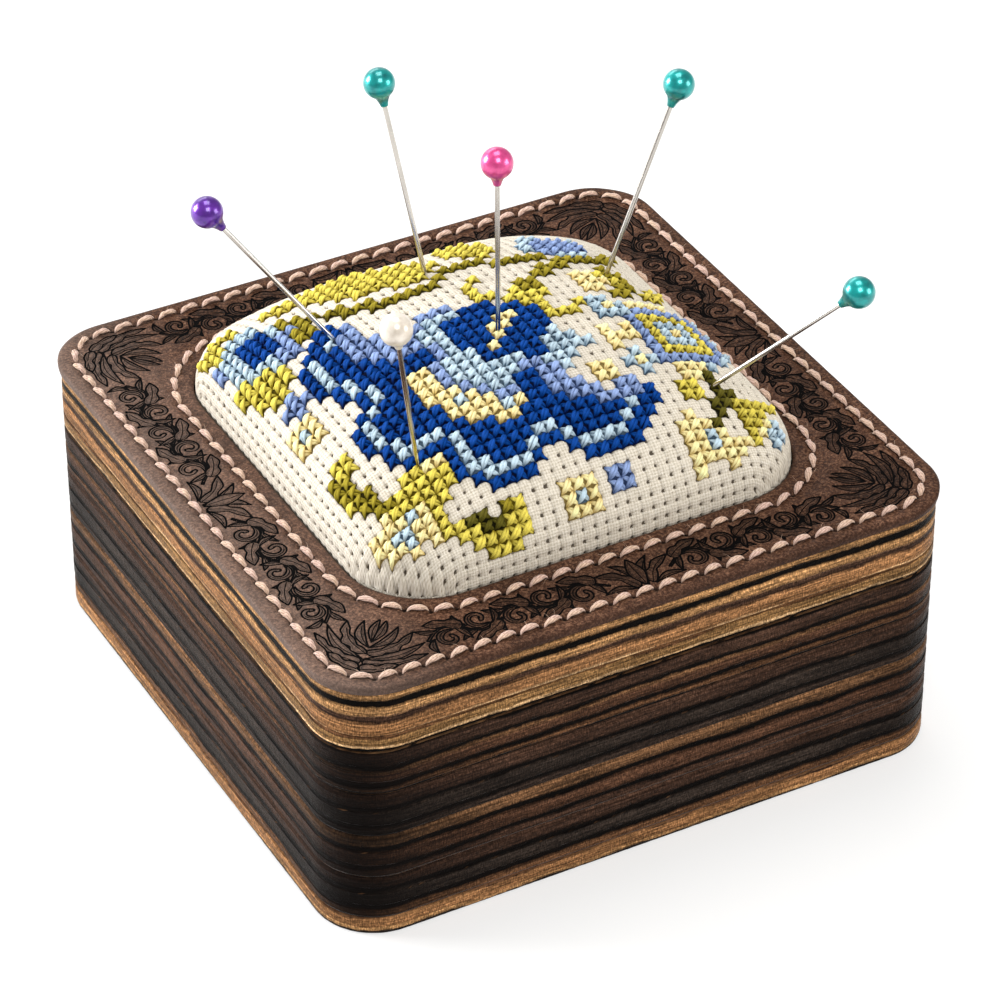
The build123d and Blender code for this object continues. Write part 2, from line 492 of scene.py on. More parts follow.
def assign(node, material):
    """A better material on a CAD node that stays."""
    target = frame["nodes"][node]
    target.data.materials.clear()
    target.data.materials.append(material)


wood_ring("base_board", "box")
for number in range(1, 5):
    wood_ring(f"box_frame_{number}", "box", WOOD_HALF - WALL, COMPARTMENT_CORNER)
wood_ring("lid_board", "lid")
wood_ring("lid_frame", "lid", CUSHION_ROOM_HALF, CUSHION_CORNER)
assign("lid_locator", plain_board())
assign("backing_card", greyboard())


# ---------- the carving on the leather

# The carving is drawn on one half of one side, in millimetres: how far along from the middle
# of the side, and how far out from the cushion's middle. The rest is mirrored and turned.
BAND_MIDDLE = 36.0
WAVE_RISE = 1.25
WAVE_START = 3.0
WAVE_STEP = 4.4
LEAF_LAYERS = 3
# Each leaf: its base, its tip, its half widths, how far it curls, and its lobes if it has any
PALMETTE = [
    ((0.0, 38.7), (0.0, 33.3), 1.0, 1.0),
    ((0.2, 38.8), (2.5, 33.6), 0.3, 1.1, -0.5),
    ((0.8, 38.7), (4.9, 34.6), 0.6, 0.9, -0.7, 2),
    ((1.2, 38.9), (5.4, 38.4), 0.35, 0.6, -0.5),
]
# The spray in each corner, on one side of its diagonal, from its outer end inward
CORNER_LEAVES = [
    ((36.9, 37.0), (32.4, 38.7), 0.9, 0.5, -0.35, 2),
    ((36.1, 36.3), (28.6, 38.3), 0.9, 0.45, -0.9, 3),
    ((35.6, 35.7), (28.0, 36.3), 0.75, 0.55, -1.0),
    ((34.9, 34.9), (28.3, 33.9), 0.55, 0.95, -0.9, 3),
    ((34.1, 34.1), (29.3, 32.2), 0.45, 0.75, -0.6),
    ((33.3, 33.3), (29.9, 30.4), 0.5, 0.5, -0.35),
]
# The leaves round each scroll, measured from its middle, each with its layer first
SCROLL_LEAVES = [
    (1, (-2.4, -1.6), (1.9, -3.55), 0.85, 0.85, -0.35, 2),
    (2, (1.7, -0.7), (2.4, 1.9), 0.42, 0.42, -0.5, 0),
    (1, (-1.2, -1.7), (-2.3, 1.2), 0.3, 0.5, 0.35, 0),
    (2, (0.6, -1.9), (3.3, -3.0), 0.4, 0.4, 0.3, 0),
]


def smooth_line(points, spacing=0.08):
    """A smooth line through given points."""
    p = np.array(points, float)
    p = np.concatenate([2 * p[:1] - p[1:2], p, 2 * p[-1:] - p[-2:-1]])
    made = []
    for a, b, c, d in zip(p, p[1:], p[2:], p[3:]):
        steps = max(2, int(np.linalg.norm(c - b) / spacing))
        t = np.linspace(0, 1, steps, endpoint=False)[:, None]
        bend = (2 * a - 5 * b + 4 * c - d) * t**2 + (3 * b - a - 3 * c + d) * t**3
        made.append(0.5 * (2 * b + (c - a) * t + bend))
    return np.concatenate([*made, p[-2:-1]])


def leaf(base, tip, left, right, curl=0.0, lobes=0):
    """A pointed leaf: its closed outline and the line of its middle vein."""
    base, tip = np.array(base, float), np.array(tip, float)
    axis = tip - base
    side = np.array([-axis[1], axis[0]]) / np.linalg.norm(axis)

    def at(along, across):
        return base + axis * along + side * (across + curl * math.sin(math.pi * along))

    def edge(width):
        if not lobes:
            return [at(0.22, 0.62 * width), at(0.5, width), at(0.78, 0.62 * width)]
        made = []
        for index in range(lobes):
            start = (index + 0.15) / (lobes + 0.4)
            reach = width * math.sin(math.pi * (0.25 + 0.6 * (index + 0.5) / lobes))
            for ahead, swell in ((0.0, 0.80), (0.4, 1.12), (0.72, 0.70)):
                made.append(at(start + ahead / lobes, reach * swell))
        return made

    left_edge, right_edge = (smooth_line([base, *edge(width), tip]) for width in (left, -right))
    vein = smooth_line([base, at(0.3, 0.0), at(0.55, 0.0), at(0.8, 0.0)])
    return np.concatenate([left_edge, right_edge[::-1]]), vein


def strip(middle, half):
    """The outline of a strip with a half width on each side of its middle line."""
    side = left_of(unit(np.gradient(middle, axis=0))) * half
    return np.concatenate([middle + side, (middle - side)[::-1]])


def scroll(centre, radius, start, turns, width, hand):
    """A tapering spiral band that ends in a small bud, and its middle line."""
    share = np.linspace(0, 1, 90)
    angle = start + hand * turns * FULL_TURN * share
    reach = radius * (1 - 0.78 * share)
    middle = np.array(centre) + np.stack([np.cos(angle), np.sin(angle)], 1) * reach[:, None]
    half = width * np.minimum(share / 0.18, 1) ** 0.7 * (1 - 0.55 * share)
    half += 0.16 * np.exp(-(((share - 0.94) / 0.05) ** 2))
    return strip(middle, half[:, None]), middle[8:45]


def stem(start, finish, half):
    """The wavy stem that the scrolls grow from; its vein lies out of the way."""
    x = np.linspace(start, finish, 160)
    y = BAND_MIDDLE + WAVE_RISE * np.cos(math.pi * (x - WAVE_START) / WAVE_STEP)
    middle = np.stack([x, y], 1)
    return strip(middle, half), middle[:2] + 50


def side_shapes():
    """The shapes on one half of one side, each with the layer it lies in."""
    made = [(*leaf(*facts), index % LEAF_LAYERS) for index, facts in enumerate(PALMETTE)]
    made.append((*stem(WAVE_START + 1.0, 27.6, 0.15), 2))
    for index in range(5):
        out = 1 if index % 2 == 0 else -1
        x, y = WAVE_START + WAVE_STEP * (index + 1), BAND_MIDDLE + 0.95 * out
        made.append((*scroll((x, y), 1.75 * (1 - 0.03 * index), -out * 2.2, 1.05, 0.44, out), 0))
        for layer, base, tip, left, right, curl, lobes in SCROLL_LEAVES:
            ends = [(x + along, y + across * out) for along, across in (base, tip)]
            made.append((*leaf(*ends, left, right, curl * out, lobes), layer))
    return made


def corner_shapes():
    """The shapes on both sides of one corner's diagonal, as along and out."""
    made = []
    for index, facts in enumerate(CORNER_LEAVES):
        outline, vein = leaf(*facts)
        made.append((outline, vein, index % LEAF_LAYERS))
        made.append((outline[:, ::-1], vein[:, ::-1], (index + 1) % LEAF_LAYERS))
    return made


def carving():
    """Every shape of the carving in plan, in layers that lie over each other."""
    layers = [[] for _ in range(LEAF_LAYERS)]
    side, corner = side_shapes(), corner_shapes()
    for quarter in range(4):
        turn = quarter_turn(quarter)
        for shapes, mirrors in ((side, (1, -1)), (corner, (1,))):
            for outline, vein, layer in shapes:
                for mirror in mirrors:
                    # along runs as X and out runs as -Y on the first side
                    flip = np.array([mirror, -1])
                    layers[layer].append(((outline * flip) @ turn, (vein * flip) @ turn))
    return layers


def distance_to_line(points, starts, ends):
    """The distance from each point to a line, and the side of the line the point is on."""
    best, side = np.full(len(points), 1e9), np.ones(len(points))
    for (x1, y1), (x2, y2) in zip(starts, ends):
        dx, dy = x2 - x1, y2 - y1
        size = dx * dx + dy * dy
        if size == 0:
            continue
        px, py = points[:, 0] - x1, points[:, 1] - y1
        along = np.clip((px * dx + py * dy) / size, 0, 1)
        away = np.hypot(px - along * dx, py - along * dy)
        nearer = away < best
        best = np.where(nearer, away, best)
        side = np.where(nearer, np.sign(dx * py - dy * px), side)
    return best, side


def inside_shape(points, shape):
    """Whether each point is inside a closed outline."""
    x, y = points[:, 0], points[:, 1]
    result = np.zeros(len(points), bool)
    for (x1, y1), (x2, y2) in zip(shape, np.roll(shape, -1, 0)):
        if y1 != y2:
            crosses = (y1 > y) != (y2 > y)
            result ^= crosses & (x < (x2 - x1) * (y - y1) / (y2 - y1) + x1)
    return result


def carve(flat, margin=0.6):
    """Signed distances to the leaves' edges and to their veins, for each layer."""
    edges, veins = [], []
    for shapes in carving():
        edge, vein = np.full(len(flat), margin), np.full(len(flat), margin)
        for outline, middle in shapes:
            low, high = outline.min(0) - margin, outline.max(0) + margin
            near = np.nonzero((flat >= low).all(1) & (flat <= high).all(1))[0]
            away, _ = distance_to_line(flat[near], outline, np.roll(outline, -1, 0))
            inside = inside_shape(flat[near], outline)
            edge[near] = np.minimum(edge[near], np.where(inside, -away, away))
            across, side = distance_to_line(flat[near], middle[:-1], middle[1:])
            vein[near[inside]] = (across * side)[inside]
        edges.append(edge)
        veins.append(vein)
    return edges, veins


# ---------- the leather frame

STITCH_PITCH = 3.05
OUTER_INSET = 2.2
INNER_INSET = 2.4
# How deep each mark is pressed into the leather, in millimetres
REST_DEPTH, LINE_DEPTH, LEAF_DEPTH = 0.035, 0.10, 0.04
PIT_DEPTH, GROOVE_DEPTH, ROLL_DEPTH = 0.40, 0.14, 0.2
LINE_WIDTH = 0.2
PIT_RADIUS, GROOVE_RADIUS, ROLL_WIDTH, RIM_WIDTH = 0.42, 0.55, 0.4, 0.5
# The rows of the top: where each run starts, as the distance out from the opening, and its rows
TOP_RUNS = [(0.0, 5), (0.9, 7), (3.4, 34), (9.1, 7)]
LAST_RUN = (11.4, 12.2, 5)
# The leather's points along each straight side and round each corner
LEATHER_STEPS = (300, 110)
# The rows of the cut edges: how far down the leather's thickness, and how far into it
OUTER_ROWS = [(0.5, 0.0), (0.75, 0.03), (0.95, 0.09), (1.0, 0.23)]
OPENING_ROWS = [(1.0, 0.15), (0.7, 0.0), (0.45, 0.0)]


def stitch_places(half, corner):
    """Evenly spaced places round a rounded square, with the direction of the course."""
    course = rounded_outline(half, corner, 400, 120)
    along, total = running_length(course)
    count = round(total / STITCH_PITCH)
    wanted = (np.arange(count) + 0.5) / count * total
    closed, lengths = np.concatenate([course, course[:1]]), np.append(along, total)

    def at(distance):
        return np.stack([np.interp(distance, lengths, closed[:, axis]) for axis in (0, 1)], 1)

    places = at(wanted)
    return places, unit(at((wanted + 0.2) % total) - places)


outer_course = stitch_places(LEATHER_HALF - OUTER_INSET, LEATHER_CORNER - OUTER_INSET)
inner_course = stitch_places(OPENING_HALF + INNER_INSET, OPENING_CORNER + INNER_INSET)


def hole_distances(flat, wanted):
    """How far each wanted point is from the nearest stitch hole."""
    courses = (outer_course, inner_course)
    holes = np.concatenate([places + ahead * STITCH_PITCH / 2 for places, ahead in courses])
    tree = KDTree(len(holes))
    for index, point in enumerate(holes):
        tree.insert((*point, 0), index)
    tree.balance()
    away = np.full(len(flat), 9.0)
    for index in np.nonzero(wanted)[0]:
        away[index] = tree.find((*flat[index], 0))[2]
    return away


def leather_outline(half, corner):
    return rounded_outline(half, corner, *LEATHER_STEPS)


def leather_ring():
    """The leather frame: a rolled outer edge, a cut inner edge, and the carving pressed in."""
    width = LEATHER_HALF - OPENING_HALF
    ends = [start for start, _ in TOP_RUNS[1:]] + [LAST_RUN[0]]
    runs = [np.linspace(a, b, rows, endpoint=False) for (a, rows), b in zip(TOP_RUNS, ends)]
    across = np.concatenate([*runs, np.linspace(*LAST_RUN)])
    flat = []
    for distance in across:
        corner = OPENING_CORNER + (LEATHER_CORNER - OPENING_CORNER) * distance / width
        flat.append(leather_outline(OPENING_HALF + distance, corner))
    columns = len(flat[0])
    flat = np.concatenate(flat)
    edges, veins = carve(flat)
    line, leafy = np.zeros(len(flat)), np.zeros(len(flat))
    for edge in edges:
        line = np.maximum(line, np.clip(1 - np.abs(edge) / LINE_WIDTH, 0, 1))
        leafy = np.maximum(leafy, np.clip(0.5 - edge / LINE_WIDTH, 0, 1))
    from_course = np.stack([across - INNER_INSET, across - (width - OUTER_INSET)])
    away = hole_distances(flat, np.repeat((np.abs(from_course) < 1.0).any(0), columns))
    pit = np.exp(-((away / PIT_RADIUS) ** 2))
    groove = np.exp(-((from_course / GROOVE_RADIUS) ** 2)).sum(0)
    edge_gap = np.minimum(across, width - across)
    roll = ROLL_DEPTH * np.clip(1 - edge_gap / ROLL_WIDTH, 0, 1) ** 2
    undulate = 0.03 * np.sin(flat[:, 0] * 0.9 + 0.4 * np.sin(flat[:, 1])) * np.sin(flat[:, 1] * 0.8 + 1.0)
    pressed = REST_DEPTH + LINE_DEPTH * line + LEAF_DEPTH * leafy + PIT_DEPTH * pit - undulate
    pressed += np.repeat(GROOVE_DEPTH * groove + roll, columns)
    rows = [np.column_stack([flat, np.minimum(LEATHER_TOP - pressed, LEATHER_TOP)])]
    # the cut edges and the underside
    edges_down = [(LEATHER_HALF, LEATHER_CORNER + 0.03, drop, -inset) for drop, inset in OUTER_ROWS]
    edges_down += [(OPENING_HALF, OPENING_CORNER, *row) for row in OPENING_ROWS]
    for half, corner, drop, move in edges_down:
        height = LEATHER_TOP - drop * (LEATHER_TOP - LEATHER_BOTTOM)
        rows.append(at_height(leather_outline(half + move, corner + move), height))
    points = np.concatenate(rows)
    mesh = build_mesh("leather_frame", points, ring_quads(len(points) // columns, columns, True))
    # the rows below the top have no carving: they are far from any edge or vein
    none, far = np.zeros(len(points) - len(flat)), np.ones(len(points) - len(flat))
    rim = np.repeat(np.clip(1 - edge_gap / RIM_WIDTH, 0, 1), columns)
    add_values(mesh, pit=np.append(pit, none), rim=np.append(rim, far))
    for kind, layers in (("edge", edges), ("vein", veins)):
        add_values(mesh, **{f"{kind}_{index}": np.append(layer, far) for index, layer in enumerate(layers)})
    return mesh


def band(n, value, middle, half_width, softness=0.03):
    """One inside a narrow band of a value, zero outside, with a soft edge."""
    away = n.math("ABSOLUTE", n.math("SUBTRACT", value, middle))
    return n.share(n.line(away, -1 / softness, half_width / softness + 0.5))


def leather_material():
    """Dark brown leather: pores, mottled ground, scorched leaves, black carved lines, a painted sheen towards its
    left side and painted shade in the stitch holes.
    """
    n = Nodes("carved_leather")
    place = n.place()
    per_mm = n.add("Mapping", place)
    per_mm.inputs["Scale"].default_value = (1000, 1000, 1000)
    pores = n.add("TexVoronoi", per_mm.outputs[0])
    pores.inputs["Scale"].default_value = 2.6
    grain = n.noise(per_mm.outputs[0], 3.2, 6, 0.7)
    blotch = n.noise(per_mm.outputs[0], 0.16, 3, 0.5)
    ground = n.ramp(grain, [(0.34, (32, 18, 12)), (0.5, (70, 46, 34)), (0.66, (120, 88, 68))])
    scorched = n.ramp(grain, [(0.34, (22, 13, 9)), (0.5, (50, 33, 24)), (0.66, (88, 63, 48))])
    leafy, black = 0.0, 0.0
    for index in reversed(range(LEAF_LAYERS)):
        edge, vein = n.read(f"edge_{index}"), n.read(f"vein_{index}")
        inside = n.math("LESS_THAN", edge, 0.0)
        inner = n.times(band(n, edge, -0.28, 0.035), 0.6)
        middle = n.times(band(n, vein, 0.0, 0.065), inside)
        drawn = n.larger(n.larger(band(n, edge, 0.0, 0.12), inner), middle)
        black = n.larger(drawn, n.times(black, n.math("SUBTRACT", 1.0, inside)))
        leafy = n.larger(inside, leafy)
    pit = n.read("pit")
    colour = n.mix(n.times(leafy, 0.8), ground, scorched)
    colour = n.mix(n.times(n.read("rim"), 0.6), colour, (46, 30, 23))
    colour = n.tinted(colour, n.ramp(blotch, [(0.3, 0.7), (0.7, 1.3)]))
    # painted sheen: the frame is painted paler towards its left side (-X), following the grain, where light
    # glances off it
    painted_sheen = n.share(n.line(n.parts(place)[0], -1 / 0.030, -0.025 / 0.030))
    colour = n.mix(n.times(painted_sheen, n.times(grain, 0.9)), colour, (158, 138, 127))
    colour = n.mix(black, colour, (3, 2, 2))
    # painted shade: the stitch holes are painted near black
    colour = n.mix(n.ramp(pit, [(0.3, 0.0), (0.8, 1.0)]), colour, (8, 5, 4))
    height = n.plus(n.times(grain, 0.7), n.times(pores.outputs["Distance"], 0.5))
    height = n.math("SUBTRACT", height, n.times(black, 0.9))
    rough = n.larger(n.line(grain, 0.35, 0.27), n.times(n.larger(black, pit), 0.9))
    return n.finish(colour, rough, n.bump(height, 0.00011), Specular_IOR_Level=0.06)


piece("leather_frame", leather_ring(), leather_material(), "lid", "leather_ring")


# ---------- the thread sewn through the leather

# A stitch: its half length, how far its middle rises over the leather and its ends sink into
# it, and how far each ply stands from the stitch's own middle
THREAD_HALF, THREAD_ARCH, THREAD_SUNK, PLY_OFFSET = 1.27, 0.28, 0.35, 0.13
THREAD_SLANT = math.radians(9)


def with_ends(tubes, segments):
    """Each tube's points, followed by the middles of its first and its last ring."""
    first, last = tubes[:, :segments], tubes[:, -segments:]
    return np.concatenate([tubes, first.mean(1, keepdims=True), last.mean(1, keepdims=True)], 1)


def fibre_lay(along, turn, offsets):
    """For the fibres: each point's place along and round its tube, and the tube's own number."""
    lay = np.zeros((len(offsets), len(along) * len(turn) + 2, 3))
    lay[:, :-2, 0] = np.repeat(along, len(turn))
    lay[:, :-2, 1] = np.tile(turn, len(along))
    lay[..., 2] = offsets[:, None]
    return lay


def stray_hairs(places, local, rings=6, segments=3, radius=0.02):
    """Fine curved hairs that stand off the stitches: their points, quads and end fans."""
    count = 2 * len(places)
    roots = places[local.integers(0, len(places), count)] + local.normal(0, 0.3, (count, 2))
    heading = local.uniform(0, FULL_TURN, count)
    length, lift = local.uniform(0.4, 1.3, count), local.uniform(0.1, 0.7, count)
    bend = local.normal(0, 0.4, count)
    t, turn = np.linspace(0, 1, rings), circle_angles(segments)
    forward, across = length[:, None] * t, bend[:, None] * t**2
    c, s = np.cos(heading)[:, None], np.sin(heading)[:, None]
    x = roots[:, :1] + forward * c - across * s
    y = roots[:, 1:] + forward * s + across * c
    z = LEATHER_TOP + 0.25 + lift[:, None] * np.sin(2.4 * t) * 0.6
    spine = np.stack([x, y, z], -1)
    sideways = np.stack([-np.sin(heading), np.cos(heading), np.zeros(count)], -1)[:, None, None]
    ring = sideways * np.cos(turn)[:, None] + np.array([0, 0, 1.0]) * np.sin(turn)[:, None]
    taper = (radius * (1 - 0.7 * t))[None, :, None, None]
    tube = (spine[:, :, None] + ring * taper).reshape(count, -1, 3)
    points = np.concatenate([tube, spine[:, :1], spine[:, -1:]], 1)
    faces = capped_faces(rings, segments)
    return points.reshape(-1, 3), *(repeat_faces(kind, count, points.shape[1]) for kind in faces)


def sewn_thread(name, course, node, seed):
    """Slanted stitches of two-ply thread, each arched over the leather between its holes."""
    places, tangents = course
    local = np.random.default_rng(seed)
    count, plies, rings, segments = len(places), 2, 17, 10
    slant = THREAD_SLANT + local.normal(0, math.radians(2.0), count)
    c, s = np.cos(slant)[:, None], np.sin(slant)[:, None]
    forward = tangents * c + left_of(tangents) * s
    sideways = left_of(tangents) * c - tangents * s
    u, turn = np.linspace(-1, 1, rings), circle_angles(segments)
    body = np.clip(1 - np.abs(u) ** 3.2, 0, 1) ** 0.5
    rise = (THREAD_ARCH + THREAD_SUNK) * np.clip(1 - np.abs(u) ** 3.0, 0, 1) ** 0.6 - THREAD_SUNK
    swing = PLY_OFFSET * body
    points, lays, shades = [], [], []
    for ply in range(plies):
        phase = local.uniform(0, 6.28, count)[:, None] * 0.15 + ply * math.pi
        angle = phase + u[None] * math.pi * 0.75
        centre_side = swing * np.cos(angle)
        centre_up = rise[None] + swing * 0.55 * np.sin(angle)
        side = centre_side[..., None] + (0.07 + 0.25 * body)[:, None] * np.cos(turn)
        up = centre_up[..., None] + (0.05 + 0.17 * body)[:, None] * np.sin(turn)
        length = (u * THREAD_HALF)[None, :, None] * (1 + local.normal(0, 0.05, (count, 1, 1)))
        xy = forward[:, None, None] * length[..., None] + sideways[:, None, None] * side[..., None]
        xyz = np.concatenate([places[:, None, None] + xy, (LEATHER_TOP + up)[..., None]], -1)
        points.append(with_ends(xyz.reshape(count, rings * segments, 3), segments))
        lays.append(fibre_lay(u * THREAD_HALF, turn, local.uniform(0, 50, count)))
        shades.append(np.repeat(local.uniform(0, 1, count), rings * segments + 2))
    points = np.concatenate(points).reshape(-1, 3)
    hairs, *hair_faces = stray_hairs(places, local)
    faces = [
        np.concatenate([repeat_faces(kind, count * plies, rings * segments + 2), hair_kind + len(points)])
        for kind, hair_kind in zip(capped_faces(rings, segments), hair_faces)
    ]
    mesh = build_mesh(name, np.concatenate([points, hairs]), *faces)
    lay = np.concatenate([np.concatenate(lays).reshape(-1, 3), hairs])
    add_values(mesh, lay=lay, shade=np.concatenate([*shades, np.ones(len(hairs))]))
    piece(name, mesh, thread_material, "lid", node)


def thread_look():
    """Matt pinkish-beige thread with fine fibres lying along its twist."""
    n = Nodes("sewing_thread")
    lay = n.read("lay", "Vector")
    along, around, _ = n.parts(lay)
    twist = n.plus(n.times(along, 1.5), around)
    fibres = n.times(n.plus(n.math("SINE", n.times(twist, 5.0)), 1.0), 0.5)
    both = n.plus(n.times(fibres, 0.22), n.times(n.noise(lay, (7.7, 3.96, 2.2), 4, 0.7), 0.78))
    colour = n.ramp(both, [(0.28, (142, 112, 100)), (0.5, (200, 174, 162)), (0.72, (226, 206, 197))])
    colour = n.tinted(colour, n.mix(n.read("shade"), (250, 238, 232), (255, 246, 226)))
    return n.finish(colour, 0.85, n.bump(both, 0.00012, 0.9), Sheen_Weight=0.25, Sheen_Roughness=0.5)


thread_material = thread_look()
sewn_thread("outer_sewing", outer_course, "outer_stitches", 5)
sewn_thread("inner_sewing", inner_course, "inner_stitches", 6)


# ---------- the shape of the cushion

# One stitch of 16-count cloth, and how far the mesh's lines by a hole stand from it, in cells
CELL = 1.59
HOLE = 0.11
SKIRT = LEATHER_TOP - CLOTH_BOTTOM
HEM = 8.0
DIAGONAL_SHARE = 1 - math.sqrt(0.5)

# The crown's middle profile, from its top to its edge
profile_level = np.sin(np.linspace(0, math.pi / 2, 3000))[::-1]
profile_x = CLOTH_HALF * (1 - profile_level**2) ** (1 / CROWN_POWER)
profile_steps = np.hypot(np.diff(profile_x), np.diff(CROWN_RISE * profile_level))
profile_length = np.append(0, np.cumsum(profile_steps))
ARC = profile_length[-1]
EDGE_CELLS = math.ceil(ARC / CELL)
REACH_CELLS = (ARC + SKIRT + HEM) / CELL


def plan_place(cells):
    """Where a thread lies in plan, from its place in cells along the flat cloth."""
    distance = np.abs(cells) * CELL
    inside = np.interp(distance, profile_length, profile_x)
    return np.sign(cells) * (inside + np.maximum(distance - ARC, 0))


def outside_by(x, y, half, corner):
    """How far a point is outside a rounded square; negative inside."""
    qx, qy = np.abs(x) - (half - corner), np.abs(y) - (half - corner)
    return np.hypot(np.maximum(qx, 0), np.maximum(qy, 0)) + np.minimum(np.maximum(qx, qy), 0) - corner


def crown_section(half, level):
    """The half side and the corner radius of the crown's rounded square at a level."""
    across = half * (1 - level**2) ** (1 / CROWN_POWER)
    diagonal = half * (1 - level) ** (1 / CROWN_POWER)
    corner = np.maximum(CUSHION_CORNER, (across - diagonal) / DIAGONAL_SHARE)
    return across, np.minimum(corner, 0.98 * across)


def crown_level(x, y, halvings=26):
    """The share of the crown's rise at a point in plan, found by halving."""
    low, high = np.zeros_like(x), np.ones_like(x)
    for _ in range(halvings):
        level = (low + high) / 2
        inside = outside_by(x, y, *crown_section(CLOTH_HALF, level)) <= 0
        low, high = np.where(inside, level, low), np.where(inside, high, level)
    return low


def cloth_base(s, t):
    """The cloth's surface: from places in cells on the flat cloth to millimetres."""
    x, y = plan_place(s), plan_place(t)
    out = outside_by(x, y, CLOTH_HALF, CUSHION_CORNER)
    beyond = out > 0
    crown = LEATHER_TOP + CROWN_RISE * crown_level(x, y)
    z = np.where(beyond, LEATHER_TOP - np.clip(out, 0, SKIRT), crown)
    run = CLOTH_HALF - CUSHION_CORNER
    qx, qy = (np.maximum(np.abs(along) - run, 0) for along in (x, y))
    radius = (CUSHION_CORNER - np.clip(out - SKIRT, 0, HEM)) / np.maximum(np.hypot(qx, qy), 1e-6)
    x, y = (
        np.where(beyond, np.sign(along) * (np.minimum(np.abs(along), run) + q * radius), along)
        for along, q in ((x, qx), (y, qy))
    )
    return np.stack([x, y, z], -1), out


def on_cloth(s, t, height, step=0.03):
    """A point at a height above the cloth, with the height along the cloth's normal."""
    here, out = cloth_base(s, t)
    along = cloth_base(s + step, t)[0] - cloth_base(s - step, t)[0]
    up = cloth_base(s, t + step)[0] - cloth_base(s, t - step)[0]
    normal = np.cross(along, up)
    size = np.linalg.norm(normal, axis=-1, keepdims=True)
    plain = here * np.array([1, 1, 0])
    plain = plain / np.maximum(np.linalg.norm(plain, axis=-1, keepdims=True), 1e-6)
    normal = np.where(size > 1e-5, normal / np.maximum(size, 1e-9), plain)
    return here + normal * np.asarray(height)[..., None], out


# ---------- the needlework's plan

# The needlework's own plan. Each line is the row's top edge in cells from the middle, then
# groups of a first column and the stitches from it: B royal blue, P periwinkle, L light
# blue, Y pale yellow, G yellow-green, O olive and D dark olive.
MOTIF = """
16: -18 GG -16 G
15: -20 GGG -16 G -13 GGGGGGGGG
14: -20 GGG -17 LLL -12 GGGGGGGGG 2 GGG
13: -19 G -18 LLLL -10 GGGGGGGGG 2 GGGG 9 LL
12: -20 PLLBBBL -13 O -9 GGGGGGGGG 2 GGGG 9 LPPPL
11: -20 PLLBBBL -13 OO -8 GGGGGGGGG 3 GGG 8 LPPPPP
10: -19 LLBBBPP -12 OO -7 GGGGGGG 4 G 8 LPPPPP
9: -19 LLBBBP -13 OO -10 OO -4 GGG 0 OOOO 9 PPPP
8: -20 GGLLLPP -13 OO -9 OOO -1 O 4 OOOOO 10 LLL 14 OO
7: -20 GGGGLPP -12 BB -7 OO -5 OOOO 9 OOOOOO
6: -19 GGGG -13 BBBP 1 G 7 OOO
5: -19 GGGG -14 BBLPP 0 G 6 OO 12 O
4: -18 GG -15 BLBBPP 0 G 4 OO 9 YYG 12 OO
3: -17 P -15 BLBBPPP -5 PPP 0 GG 3 GOO 9 YYYG 13 O
2: -18 PPP -15 BLBBPPPP -6 PLLL -2 BBB 2 GGGG 9 YY 12 OO 15 GG
1: -17 P -15 BLBBBPPPP -6 LLBBBBBBB 3 GG 11 OO 14 GG
0: -19 YYY -14 BLBBBPPPLLBBBBYYBB 4 G 7 G 8 LL
-1: -19 YLY -14 BLBBBBBBPLBBBYYBBB 4 GGG 8 LYL 11 YYYY
-2: -19 YYY -13 BLBBBBBPLBBBYBBBB 8 LL 10 LPPPPPPL
-3: -13 BLBB -9 YYPLLLBYBBBB 3 L 10 PGGGGGP
-4: -14 BLBBB -9 YYPLLLBBBBBLL 4 L 7 Y 9 YPGLLLGPL
-5: -15 BLBBBB -9 YYPLLLLLLBBLLLL 7 YY 9 YPGLYLGPL
-6: -15 BLBBBB -9 YYYPLLLLPPLLL 7 Y 10 PGLLLGP
-7: -15 BLBBBBB -8 YLYPLLBBPPL 8 L 10 PGGGGGPL
-8: -14 BLBBBB -8 YYYYPPBBPP 4 YY 7 LY 9 LPPPPPPL
-9: -14 BLLLLBBYYYLYBBPPP 4 YY 8 L 11 YYYL
-10: -13 BBBBLBBBYYBBBB 1 PPP 5 PP 11 YY 13 D
-11: -14 GGYY -10 BLBBBBBBBBBBB 3 PPPPB 10 GG 13 D
-12: -17 OO -15 GGGGG -10 BLBBBBBLLBBBBBB 5 LBB 10 GG 13 DD
-13: -17 YGGGGGG -10 BLLBBBLBBLBBBB 4 LBB 12 DD 14 GGGGG
-14: -19 YYYYLY -13 GG -9 BLLLLB -1 BLLLLBB 9 Y 12 D 14 GGG
-15: -19 YYLLYY -13 G -8 BBBB 0 BBBBB 8 YYY 11 D 14 GGY 17 L
-16: -18 YYLYY -13 G 8 YYLY 14 GY 16 LL
-17: -16 Y -14 Y -13 GG -11 DD -8 OG -3 YYY 1 PP 8 YYLYYY 14 G 16 L
-18: -12 GGDDGG -3 YLY 1 PP 8 YYYYY
-19: -11 GGGGG -3 YYY 8 Y 11 Y
-20: -10 GGG
-6: -18 GG
-7: -19 OGG
-8: -19 OO
-9: -19 OO
-10: -19 GOO
-11: -18 OO
"""
FLOSS = {
    "B": ("royal_blue", (0, 57, 130), (0, 22, 76)),
    "P": ("periwinkle", (128, 148, 190), (78, 100, 150)),
    "L": ("light_blue", (172, 192, 204), (116, 144, 168)),
    "Y": ("pale_yellow", (240, 220, 158), (214, 184, 108)),
    "G": ("yellow_green", (204, 188, 80), (148, 128, 30)),
    "O": ("olive", (142, 128, 36), (88, 78, 12)),
    "D": ("dark_olive", (84, 78, 22), (44, 40, 6)),
}


def read_motif():
    """The letter of each stitched cell, by its column and row."""
    found = {}
    for line in MOTIF.strip().splitlines():
        top, rest = line.split(":")
        words = rest.split()
        for first, stitches in zip(words[::2], words[1::2]):
            for offset, letter in enumerate(stitches):
                found[(int(first) + offset, int(top) - 1)] = letter
    return found


